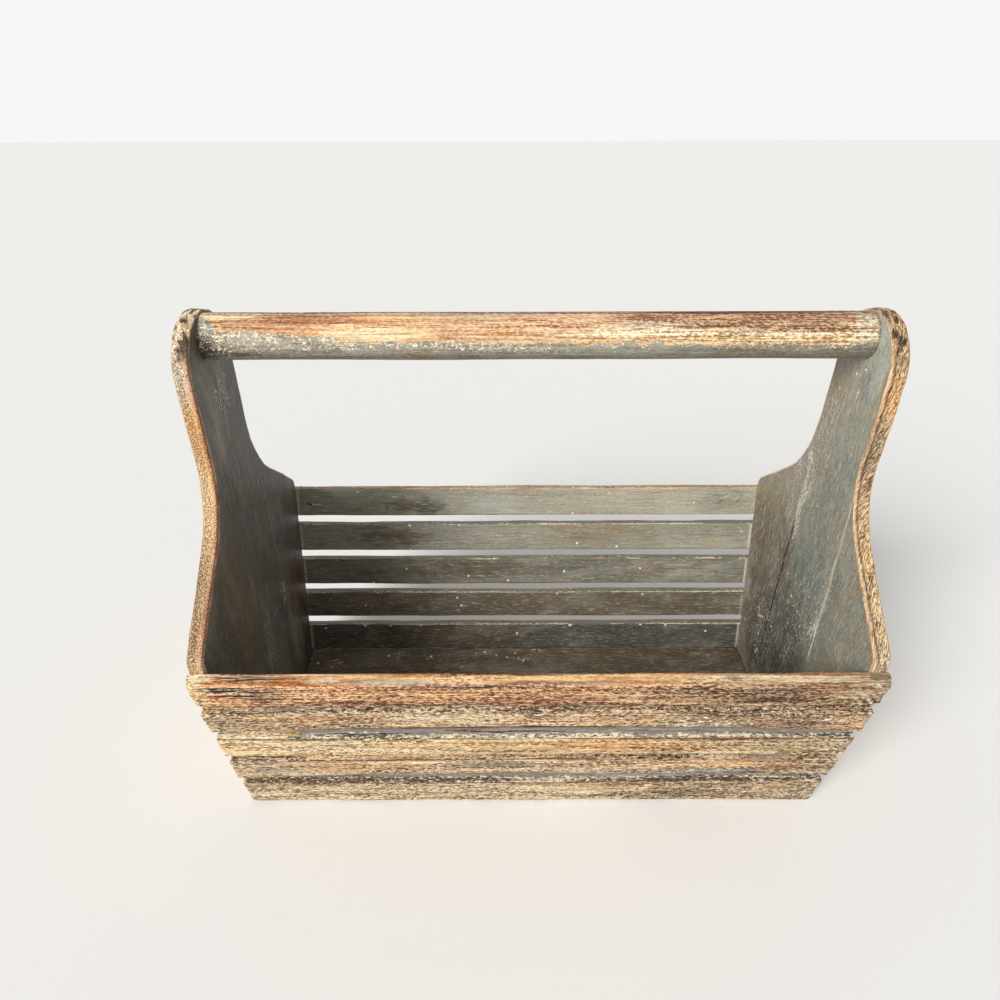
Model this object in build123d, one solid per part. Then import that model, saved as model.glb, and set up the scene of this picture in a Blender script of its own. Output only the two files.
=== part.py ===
from build123d import *
import os
from math import cos, isclose, radians, sin, tan

# A slatted wooden tote: two end boards, a floor, two leaning slat walls and a rod handle
# Millimetres, +X along the handle, +Y to the back, +Z up, origin at the bottom centre

# Basket body
inner_length = 409.0
rim_half_width = 110.95
rim_height = 167.2
wall_lean = 12.66
floor_thickness = 9.5

# End boards
end_board_thickness = 10.5
shoulder_rise = 9.6
shoulder_corner_radius = 9.0
shoulder_angle = 39.0
neck_curve_radius = 70.0
neck_half_width = 34.0
neck_length = 52.0
board_edge_chamfer = 1.2

# Slats, with the lowest one wider so that it covers the edge of the floor
slat_thickness = 9.1
slat_width = 25.4
bottom_slat_width = 33.3
slat_gap = 8.6
slat_overhang = 0.9
slat_edge_radius = 1.2

# Handle
handle_diameter = 28.6
handle_cover = 1.4

# Brads, of flat wire with a narrow head, and screws
brad_width = 1.3
brad_thickness = 1.0
brad_length = 31.0
brad_head_width = 2.1
brad_head_height = 0.8
brad_set_depth = 0.8
brad_spread_share = 0.5
floor_end_brad_shares = (-0.5, 0.0, 0.5)
floor_edge_brad_shares = (-0.6, 0.0, 0.6)
screw_diameter = 4.0
screw_length = 38.0
screw_tip_length = 5.0
screw_head_diameter = 8.0
screw_head_depth = 3.0
screw_slot_width = 1.2
screw_slot_depth = 1.2
cut_overrun = 5.0

# Places that follow from the sizes above
board_inner_x = inner_length / 2
board_outer_x = board_inner_x + end_board_thickness
board_middle_x = board_inner_x + end_board_thickness / 2
lean_sin = sin(radians(wall_lean))
lean_cos = cos(radians(wall_lean))
lean_tan = tan(radians(wall_lean))
base_half_width = rim_half_width - rim_height * lean_tan
slat_length = 2 * (board_outer_x + slat_overhang)
handle_radius = handle_diameter / 2

# The outer face of a wall, measured down its slope from the rim to the ground
wall_run = (rim_height - slat_thickness * lean_sin) / lean_cos
upper_slat_count = round((wall_run - bottom_slat_width) / (slat_width + slat_gap))
slat_pitch = (wall_run - bottom_slat_width) / upper_slat_count
slat_widths = [slat_width] * upper_slat_count + [bottom_slat_width]

# The neck's concave curve is tangent to the shoulder line and to the upright neck
shoulder_sin = sin(radians(shoulder_angle))
shoulder_cos = cos(radians(shoulder_angle))
corner_height = rim_height + shoulder_rise
curve_centre_y = neck_half_width + neck_curve_radius
curve_start_y = curve_centre_y - neck_curve_radius * shoulder_sin
curve_start_z = corner_height + (rim_half_width - curve_start_y) * tan(radians(shoulder_angle))
curve_end_z = curve_start_z + neck_curve_radius * shoulder_cos
head_centre_z = curve_end_z + neck_length
head_top_z = head_centre_z + neck_half_width
handle_z = head_top_z - handle_cover - handle_radius


def end_board_blank():
    """The bare left end board: its outline in the YZ plane, thick along X."""
    base = (base_half_width, 0)
    rim = (rim_half_width, rim_height)
    corner = (rim_half_width, corner_height)
    curve_start = (curve_start_y, curve_start_z)
    curve_end = (neck_half_width, curve_end_z)
    head_side = (neck_half_width, head_centre_z)
    head_top = (0, head_top_z)
    neck_curve = TangentArc(curve_start, curve_end, tangent=(-shoulder_cos, shoulder_sin))
    head_arc = TangentArc(head_side, head_top, tangent=(0, 1))
    outline = Polyline((0, 0), base, rim, corner, curve_start)
    outline = outline + neck_curve + Line(curve_end, head_side) + head_arc
    half = make_face(outline + Line(head_top, (0, 0)))
    profile = half + mirror(half, about=Plane.YZ)
    corners = [v for v in profile.vertices() if isclose(v.Y, corner_height)]
    profile = fillet(corners, shoulder_corner_radius)
    board = Plane.YZ * extrude(profile, end_board_thickness)
    return Pos(-board_outer_x, 0, 0) * board


def eased_board():
    """The blank with its bare arrises chamfered above the rim, where no slat lies."""
    board = end_board_blank()
    bare = [
        edge
        for edge in board.edges()
        if edge.center().Z > rim_height and edge.bounding_box().size.X < board_edge_chamfer
    ]
    return chamfer(bare, board_edge_chamfer)


def slat(number):
    """One slat of the front wall, lying on the leaning edges of the end boards."""
    width = slat_widths[number]
    body = Box(slat_length, slat_thickness, width, align=(Align.CENTER, Align.MAX, Align.MAX))
    body = fillet(body.edges().filter_by(Axis.X), slat_edge_radius)
    return wall_place(0, slat_pitch * number) * body


def wall_place(x, down):
    """A place on the front wall's inner face: +Y goes inwards, +Z up the slope."""
    rim = Pos(0, -rim_half_width, rim_height) * Rot(wall_lean, 0, 0)
    return rim * Pos(x, 0, -down)


def flat_bar(width, length, start):
    """A bar of brad wire along +Z from the given start."""
    bar = Box(width, brad_thickness, length, align=(Align.CENTER, Align.CENTER, Align.MIN))
    return Pos(0, 0, start) * bar


def brad():
    """A brad that points along +Z, with its head set below the face at zero."""
    head = flat_bar(brad_head_width, brad_head_height, brad_set_depth)
    shank = flat_bar(brad_width, brad_length, brad_set_depth)
    return head + shank


def brad_hole():
    """The hole that a brad leaves: the brad and the slot over its head."""
    slot_depth = brad_set_depth + brad_head_height + cut_overrun
    return brad() + flat_bar(brad_head_width, slot_depth, -cut_overrun)


def screw():
    """A countersunk screw that points along +Z, with its head flush at zero."""
    shank_radius = screw_diameter / 2
    shank_end = screw_length - screw_tip_length
    half = Polyline(
        (0, 0),
        (screw_head_diameter / 2, 0),
        (shank_radius, screw_head_depth),
        (shank_radius, shank_end),
        (0, screw_length),
        close=True,
    )
    return revolve(Plane.XZ * make_face(half), Axis.Z)


def screw_slot():
    """The driver's slot across the head of a screw."""
    return Box(screw_head_diameter, screw_slot_width, 2 * screw_slot_depth)


def mirrored(places):
    """The same places at the other side of the front wall, for the back wall."""
    return [Rot(0, 0, 180) * place for place in places]


def slat_brad_places(side):
    """Two brads in one end of every front slat, square to the wall."""
    places = []
    for number, width in enumerate(slat_widths):
        for half in (-1, 1):
            down = slat_pitch * number + width * (1 + half * brad_spread_share) / 2
            outside = Pos(0, -slat_thickness, 0) * Rot(-90, 0, 0)
            places.append(wall_place(side * board_middle_x, down) * outside)
    return places


def floor_end_brad_places(side):
    """Level brads through an end board into the end of the floor."""
    height = floor_thickness / 2
    return [
        Pos(side * board_outer_x, share * base_half_width, height) * Rot(0, -side * 90, 0)
        for share in floor_end_brad_shares
    ]


def floor_edge_brad_places():
    """Level brads through the lowest front slat into the long edge of the floor."""
    height = floor_thickness / 2
    face_y = base_half_width + height * lean_tan + slat_thickness / lean_cos
    return [
        Pos(share * board_inner_x, -face_y, height) * Rot(-90, 0, 0)
        for share in floor_edge_brad_shares
    ]


def handle_screw_place(side):
    """A screw through the head of an end board into the end of the handle."""
    return Pos(side * board_outer_x, 0, handle_z) * Rot(0, -side * 90, 0)


def at(places, shape):
    """Separate copies of one shape, at every place."""
    return [place * shape for place in places]


def floor_board():
    """The floor, with its long edges bevelled to the lean of the walls."""
    top_half_width = base_half_width + floor_thickness * lean_tan
    section = Polygon(
        (-base_half_width, 0),
        (base_half_width, 0),
        (top_half_width, floor_thickness),
        (-top_half_width, floor_thickness),
        align=None,
    )
    return Pos(-board_inner_x, 0, 0) * (Plane.YZ * extrude(section, inner_length))


def handle():
    """The rod, butted between the inner faces of the two heads."""
    bar = Cylinder(handle_radius, inner_length)
    return Pos(0, 0, handle_z) * Rot(0, 90, 0) * bar


sides = {"left": -1, "right": 1}
front_brads = {name: slat_brad_places(side) for name, side in sides.items()}
back_brads = {name: mirrored(slat_brad_places(-side)) for name, side in sides.items()}
end_brads = {name: floor_end_brad_places(side) for name, side in sides.items()}
screws = {name: handle_screw_place(side) for name, side in sides.items()}
edge_brads = {"front": floor_edge_brad_places(), "back": mirrored(floor_edge_brad_places())}

parts = {}
left_blank = eased_board()
for name, side in sides.items():
    blank = left_blank if side < 0 else Rot(0, 0, 180) * left_blank
    brad_places = front_brads[name] + back_brads[name] + end_brads[name]
    holes = at(brad_places, brad_hole()) + [screws[name] * screw()]
    parts[f"end_board_{name}"] = blank - holes

for wall, brads in (("front", front_brads), ("back", back_brads)):
    turn = Rot(0, 0, 0) if wall == "front" else Rot(0, 0, 180)
    for number in range(len(slat_widths)):
        pair = slice(2 * number, 2 * number + 2)
        brad_places = brads["left"][pair] + brads["right"][pair]
        if number == upper_slat_count:
            brad_places = brad_places + edge_brads[wall]
        parts[f"{wall}_slat_{number + 1}"] = turn * slat(number) - at(brad_places, brad_hole())

floor_brad_places = end_brads["left"] + end_brads["right"] + edge_brads["front"] + edge_brads["back"]
parts["floor_board"] = floor_board() - at(floor_brad_places, brad_hole())
parts["handle"] = handle() - [screws[name] * screw() for name in sides]

for name in sides:
    parts[f"front_slat_brads_{name}"] = Compound(at(front_brads[name], brad()))
    parts[f"back_slat_brads_{name}"] = Compound(at(back_brads[name], brad()))
    parts[f"floor_end_brads_{name}"] = Compound(at(end_brads[name], brad()))
    parts[f"handle_screw_{name}"] = screws[name] * (screw() - screw_slot())
for wall, places in edge_brads.items():
    parts[f"floor_edge_brads_{wall}"] = Compound(at(places, brad()))

os.makedirs("parts", exist_ok=True)
for node, shape in parts.items():
    export_step(shape, f"parts/{node}.step")
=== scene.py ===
import math

import bpy
import numpy as np
from mathutils import Matrix, Vector


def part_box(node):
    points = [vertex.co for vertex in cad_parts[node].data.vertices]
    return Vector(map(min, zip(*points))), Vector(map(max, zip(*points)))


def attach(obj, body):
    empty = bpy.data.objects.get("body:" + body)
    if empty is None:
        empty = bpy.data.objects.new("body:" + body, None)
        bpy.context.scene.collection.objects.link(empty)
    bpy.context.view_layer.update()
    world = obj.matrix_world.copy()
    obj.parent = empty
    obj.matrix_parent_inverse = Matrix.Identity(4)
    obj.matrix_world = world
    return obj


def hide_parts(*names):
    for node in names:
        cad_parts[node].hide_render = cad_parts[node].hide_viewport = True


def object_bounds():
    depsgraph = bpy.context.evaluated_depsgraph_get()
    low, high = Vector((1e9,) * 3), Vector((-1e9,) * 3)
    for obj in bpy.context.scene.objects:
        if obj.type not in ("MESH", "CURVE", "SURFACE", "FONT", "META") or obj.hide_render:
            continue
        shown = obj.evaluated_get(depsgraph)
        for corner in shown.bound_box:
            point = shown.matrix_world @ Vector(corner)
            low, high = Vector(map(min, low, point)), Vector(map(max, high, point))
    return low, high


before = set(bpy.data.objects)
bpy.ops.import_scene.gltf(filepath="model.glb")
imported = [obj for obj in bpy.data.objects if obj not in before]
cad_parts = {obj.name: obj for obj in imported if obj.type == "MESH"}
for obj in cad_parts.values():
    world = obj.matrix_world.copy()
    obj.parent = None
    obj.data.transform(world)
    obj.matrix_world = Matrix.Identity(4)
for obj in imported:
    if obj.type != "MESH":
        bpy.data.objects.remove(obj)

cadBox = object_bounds()
print("frame loaded with", len(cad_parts), "nodes")

# Lengths are millimetres until a mesh is made, angles are degrees and colours are 0 to 255
mm = 0.001
tiny = 1e-9

# What the joiner cut, as the frame has it
basket = {
    "rimHalfWidth": 110.95, "rimHeight": 167.2, "wallLean": 12.66, "floorThickness": 9.5,
    "boardThickness": 10.5, "shoulderRise": 9.6, "shoulderRound": 9, "shoulderAngle": 39, "neckRound": 70,
    "neckHalfWidth": 34, "neckLength": 52, "slatThickness": 9.1, "slatWidth": 25.4, "lowestSlatWidth": 33.3,
    "slatCount": 5, "rodRadius": 14.3, "cornerX": 203.6,
}
lean = math.radians(basket["wallLean"])
baseHalfWidth = basket["rimHalfWidth"] - basket["rimHeight"] * math.tan(lean)
wallRun = (basket["rimHeight"] - basket["slatThickness"] * math.sin(lean)) / math.cos(lean)
slatPitch = (wallRun - basket["lowestSlatWidth"]) / (basket["slatCount"] - 1)

shades = {
    "cream": (243, 222, 182), "chalk": (250, 234, 202), "straw": (230, 197, 142), "corn": (244, 224, 156),
    "peach": (216, 172, 132), "honey": (226, 168, 102), "orange": (212, 136, 78), "salmon": (202, 148, 100),
    "auburn": (186, 126, 82), "butter": (234, 206, 146), "amber": (246, 200, 138), "ash": (188, 182, 162),
    "rust": (158, 88, 52), "redBrown": (112, 58, 36), "umber": (74, 44, 28), "umberOlive": (104, 92, 74),
    "brownOlive": (148, 138, 114), "darkPit": (50, 35, 25), "pitch": (34, 24, 18), "tan": (192, 158, 120),
    "driftwood": (160, 142, 118), "brown": (136, 98, 68), "slate": (146, 140, 133), "sand": (212, 186, 146),
    "rose": (212, 186, 170), "lilac": (152, 138, 128), "rodGrey": (166, 161, 146),
    # paintedShadeOlive is a coat darkened as painted shade; sootAndShade is a dark grey used for grime and
    # for painted shade
    "lichen": (142, 138, 116), "olive": (122, 119, 106), "paintedShadeOlive": (92, 90, 82),
    "paleOlive": (156, 152, 137), "sootAndShade": (84, 78, 68), "mint": (178, 184, 170),
    "greyBrown": (140, 130, 112), "dust": (214, 208, 192), "clay": (172, 165, 144),
    "coolOlive": (128, 132, 124), "studioPale": (236, 235, 232),
}


# A shade as the renderer counts it, in even steps of light
def linear(name):
    share = np.array(shades[name]) / 255
    return np.where(share <= 0.04045, share / 12.92, ((share + 0.055) / 1.055) ** 2.4)


def shadeValue(name):
    return (*linear(name), 1.0)


# Repeatable noise, from -1 to 1, that is smooth between whole-numbered cells
hashPrimes = (374761393, 668265263, 1274126177, 1103515245)
hashRoom = 0xFFFFFFFF
hashTop = 0xFFFF


def cellRandom(column, row, layer, seed):
    key = column * hashPrimes[0] + row * hashPrimes[1] + layer * hashPrimes[2] + seed * hashPrimes[3]
    key = key & hashRoom
    key = ((key ^ (key >> 13)) * hashPrimes[2]) & hashRoom
    return ((key ^ (key >> 16)) & hashTop) / hashTop


def softNoise(places, size, seed):
    spot = places / np.array(size)
    cell = np.floor(spot).astype(np.int64)
    part = spot - cell
    part = part * part * (3 - 2 * part)
    total = np.zeros(len(places))
    for corner in range(8):
        step = np.array([corner & 1, corner >> 1 & 1, corner >> 2 & 1])
        weight = np.prod(np.where(step, part, 1 - part), axis=1)
        total += weight * cellRandom(*(cell + step).T, seed)
    return 2 * total - 1


def layeredNoise(places, size, seed, layers=3):
    total = np.zeros(len(places))
    for layer in range(layers):
        total += softNoise(places, np.array(size) / 2**layer, seed + layer) / 2**layer
    return total


# Layers of noise in a surface, each with its height, size and step of the seed
def relief(places, layers, seed):
    total = np.zeros(len(places))
    for height, size, step in layers:
        total += height * softNoise(places, size, seed + step)
    return total


def clouds(places, layer, seed):
    height, size, step = layer
    return height * layeredNoise(places, size, seed + step)


# Hollows where a noise is over its edge: depth, size, edge and step of the seed
def hollows(places, layer, seed):
    depth, size, edge, step = layer
    return depth * np.clip(softNoise(places, size, seed + step) - edge, 0, 1)


def ease(value, low, high):
    share = np.clip((value - low) / (high - low), 0, 1)
    return share * share * (3 - 2 * share)


def near(value, spot, width):
    return np.exp(-(((value - spot) / width) ** 2))


# A closed box cut into a grid, which every wooden piece is bent from
def spaced(low, high, step, edgeStep=None, edgeWidth=0.0):
    if edgeStep is None:
        return np.linspace(low, high, max(2, round((high - low) / step) + 1))
    edge = np.arange(0, edgeWidth, edgeStep)
    middle = spaced(low + edgeWidth, high - edgeWidth, step)
    return np.concatenate([low + edge, middle, (high - edge)[::-1]])


def gridBox(along, across, up):
    counts = (len(along), len(across), len(up))
    skin = np.zeros(counts, bool)
    skin[[0, -1]] = True
    skin[:, [0, -1]] = True
    skin[:, :, [0, -1]] = True
    number = np.full(counts, -1)
    number[skin] = np.arange(skin.sum())
    places = np.stack(np.meshgrid(along, across, up, indexing="ij"), -1)[skin]
    quads = []
    for axis in range(3):
        for end in (0, -1):
            sheet = np.take(number, end, axis)
            quad = np.stack([sheet[:-1, :-1], sheet[1:, :-1], sheet[1:, 1:], sheet[:-1, 1:]], -1)
            quad = quad.reshape(-1, 4)
            quads.append(quad if (end == 0) == (axis == 1) else quad[:, ::-1])
    return places.astype(float), np.concatenate(quads)


def easedBox(places, low, high, radii):
    middle = (low + high) / 2
    half = (high - low) / 2
    offset = places - middle
    past = np.maximum(np.abs(offset) - (half - radii), 0) / radii
    reach = np.maximum(np.linalg.norm(past, axis=1, keepdims=True), 1)
    return places - np.sign(offset) * past * (1 - 1 / reach) * radii


def outward(places, quads):
    corner = places[quads]
    face = np.cross(corner[:, 2] - corner[:, 0], corner[:, 3] - corner[:, 1])
    total = np.zeros_like(places)
    for side in range(4):
        np.add.at(total, quads[:, side], face)
    return total / np.maximum(np.linalg.norm(total, axis=1, keepdims=True), tiny)


def turn(degrees, axis):
    return Matrix.Rotation(math.radians(degrees), 4, axis)


# How much each place faces one way, from 0 to 1
def faces(facing, axis, side):
    return np.clip(side * facing[:, axis], 0, 1) ** 2


def addObject(name, data):
    piece = bpy.data.objects.new(name, data)
    bpy.context.scene.collection.objects.link(piece)
    return piece


def makeMesh(name, places, quads, fields):
    places = np.clip(places, *(np.array(corner) / mm for corner in cadBox))
    mesh = bpy.data.meshes.new(name)
    mesh.vertices.add(len(places))
    mesh.vertices.foreach_set("co", (places * mm).ravel())
    mesh.loops.add(quads.size)
    mesh.loops.foreach_set("vertex_index", quads.ravel())
    mesh.polygons.add(len(quads))
    mesh.polygons.foreach_set("loop_start", np.arange(0, quads.size, 4))
    mesh.update(calc_edges=True)
    mesh.shade_smooth()
    for field, values in fields.items():
        kind, part = ("FLOAT_VECTOR", "vector") if values.shape[1] == 3 else ("FLOAT_COLOR", "color")
        mesh.attributes.new(field, kind, "POINT").data.foreach_set(part, values.ravel())
    return addObject(name, mesh)


# Gives another material to the faces that lie mostly in the mask
def refinish(piece, quads, mask, material):
    mesh = piece.data
    mesh.materials.append(material)
    slots = np.zeros(len(quads), np.int32)
    mesh.polygons.foreach_get("material_index", slots)
    slots[mask[quads].mean(axis=1) > 0.5] = len(mesh.materials) - 1
    mesh.polygons.foreach_set("material_index", slots)


def patch(along, across, spot, ragged, seed, soft=0.6):
    spotAlong, spotAcross, halfLong, halfWide = spot
    reach = np.hypot((along - spotAlong) / halfLong, (across - spotAcross) / halfWide)
    flat = np.stack([along, across, np.zeros_like(along)], 1)
    edge = layeredNoise(flat, (max(halfLong * 0.5, 3), max(halfWide * 0.4, 1), 1), seed)
    return ease(1 + soft / 2 - reach + ragged * edge, 0, soft)


def splitLine(along, across, split, seed):
    spotAlong, spotAcross, halfLong, width = split
    taper = np.clip(1 - ((along - spotAlong) / halfLong) ** 2, 0, 1)
    flat = np.stack([along, np.zeros_like(along), np.zeros_like(along)], 1)
    centre = spotAcross + 0.8 * layeredNoise(flat, (24, 1, 1), seed)
    room = np.maximum(width / 2 * np.sqrt(taper), tiny)
    return np.clip(1 - np.abs(across - centre) / room, 0, 1) * (taper > 0)


# The finish of a piece: bare wood's shade, the paint over it, and how worn each is
class Finish:
    def __init__(self, count, look):
        self.tone = np.tile(linear(look["wood"]), (count, 1))
        self.coat = np.tile(linear(look["paint"]), (count, 1))
        self.cover = np.zeros(count)  # paint, from 0 to 1
        self.chips = np.zeros(count)  # flecks of an old cream coat
        self.dirt = np.zeros(count)  # dark pits
        self.dusting = np.zeros(count)  # pale specks on top

    def stain(self, mask, shade):
        self.tone += (linear(shade) - self.tone) * mask[:, None]

    def tint(self, mask, shade):
        self.coat += (linear(shade) - self.coat) * mask[:, None]

    # Stains the high ends of a noise with one shade and the low ends with another
    def mottle(self, noise, low, high, share, highShade, lowShade):
        self.stain(ease(noise, low, high) * share, highShade)
        self.stain(ease(-noise, low, high) * share, lowShade)

    def stainSpots(self, along, across, spots, ragged, seed, share):
        for order, (*spot, shade, strength) in enumerate(spots):
            self.stain(patch(along, across, spot, ragged, seed + order) * strength * share, shade)

    def paintSpots(self, along, across, spots, seed, share, soft=0.6):
        for order, (*spot, shade, cover) in enumerate(spots):
            mask = patch(along, across, spot, 0.5, seed + order, soft) * share
            self.tint(mask, shade)
            self.cover += mask * cover

    def fields(self, grain):
        one = np.ones((len(self.tone), 1))
        layers = np.stack([self.cover, self.chips, self.dirt, self.dusting], 1)
        return {
            "grain": grain,
            "tone": np.hstack([self.tone, one]),
            "coat": np.hstack([self.coat, one]),
            "layers": np.clip(layers, 0, 1),
        }


# A material's nodes, with each input either a value or a socket to link
class Nodes:
    def __init__(self, owner):
        owner.use_nodes = True
        self.tree = owner.node_tree

    def fill(self, node, inputs):
        for socket, value in inputs.items():
            if isinstance(value, bpy.types.NodeSocket):
                self.tree.links.new(value, node.inputs[socket])
            else:
                node.inputs[socket].default_value = value
        return node

    def add(self, kind, inputs, **options):
        node = self.tree.nodes.new("ShaderNode" + kind)
        for option, value in options.items():
            setattr(node, option, value)
        return self.fill(node, inputs)

    def field(self, name, output):
        return self.add("Attribute", {}, attribute_name=name).outputs[output]

    def noise(self, place, size, detail, rough, shift=0.0, twist=0.0):
        along, across = size
        inputs = {"Vector": place, "Scale": (1 / along, 1 / across, 1 / across), "Location": (shift,) * 3}
        moved = self.add("Mapping", inputs).outputs[0]
        inputs = {"Vector": moved, "Scale": 1.0, "Detail": detail, "Roughness": rough, "Distortion": twist}
        return self.add("TexNoise", inputs).outputs[0]

    def ramp(self, value, low, high, start=0.0, end=1.0):
        inputs = {"Value": value, "From Min": low, "From Max": high, "To Min": start, "To Max": end}
        return self.add("MapRange", inputs, interpolation_type="SMOOTHSTEP").outputs[0]

    def calc(self, operation, *values):
        return self.add("Math", dict(enumerate(values)), operation=operation).outputs[0]

    def mix(self, factor, first, second, blend="MIX"):
        inputs = {0: factor, 6: first, 7: second}
        return self.add("Mix", inputs, data_type="RGBA", blend_type=blend).outputs[2]

    def times(self, colour, share):
        return self.mix(1.0, colour, share, "MULTIPLY")

    # Lays one colour over another where the value runs from low to high
    def over(self, under, upper, value, low, high, amount=1.0):
        return self.mix(self.ramp(value, low, high, 0.0, amount), under, upper)


# Size, detail, roughness and shift of each noise in the marks and drops
markNoises = {
    "wander": ((26, 900), 3, 0.5, 3), "broken": ((5, 2), 3, 0.6, 13), "uneven": ((1.6, 1.2), 2, 0.5, 29),
}


# Long scratches and cracks: place along and across at both ends, half width, shade, strength
def drawMarks(nodes, place, colour, marks, acrossAxis):
    spot = nodes.add("SeparateXYZ", {0: place}).outputs
    along, across = spot[0], spot[acrossAxis]
    wander = nodes.ramp(nodes.noise(place, *markNoises["wander"]), 0.2, 0.8, -0.8, 0.8)
    broken = nodes.ramp(nodes.noise(place, *markNoises["broken"]), 0.36, 0.46)
    for low, lowAcross, high, highAcross, halfWidth, shade, strength in marks:
        slope = (highAcross - lowAcross) / (high - low)
        centre = nodes.calc("MULTIPLY_ADD", along, slope, lowAcross - slope * low)
        away = nodes.calc("SUBTRACT", nodes.calc("SUBTRACT", across, centre), wander)
        line = nodes.ramp(nodes.calc("ABSOLUTE", away), halfWidth, halfWidth * 0.4, 0.0, strength)
        taper = min(10, (high - low) / 3)
        for share in (nodes.ramp(along, low, low + taper), nodes.ramp(along, high, high - taper), broken):
            line = nodes.calc("MULTIPLY", line, share)
        colour = nodes.mix(line, colour, shadeValue(shade))
    return colour


# Drops of pale paint: place along and across, radius
def drawDrops(nodes, place, colour, drops, acrossAxis):
    spot = nodes.add("SeparateXYZ", {0: place}).outputs
    flat = nodes.add("CombineXYZ", {0: spot[0], 1: spot[acrossAxis]}).outputs[0]
    uneven = nodes.ramp(nodes.noise(place, *markNoises["uneven"]), 0.3, 0.7, -0.4, 0.4)
    nearest = 9.0
    for along, across, radius in drops:
        away = nodes.add("VectorMath", {0: flat, 1: (along, across, 0)}, operation="DISTANCE")
        nearest = nodes.calc("MINIMUM", nearest, nodes.calc("DIVIDE", away.outputs["Value"], radius))
    return nodes.over(colour, shadeValue("chalk"), nodes.calc("ADD", nearest, uneven), 1.15, 0.75)


# Detail, roughness, shift and twist of each noise in the wood
woodNoises = {
    "streak": (5, 0.62), "fibre": (4, 0.62, 31, 0.4), "fleck": (5, 0.72, 57, 0.8),
    "pit": (6, 0.75, 83, 0.6), "cloud": (3, 0.55, 11), "fine": (2, 0.5, 43, 0.3),
    "blotch": (5, 0.6, 67, 0.5), "scratch": (3, 0.6, 19), "speck": (2, 0.5, 7),
}


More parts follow.
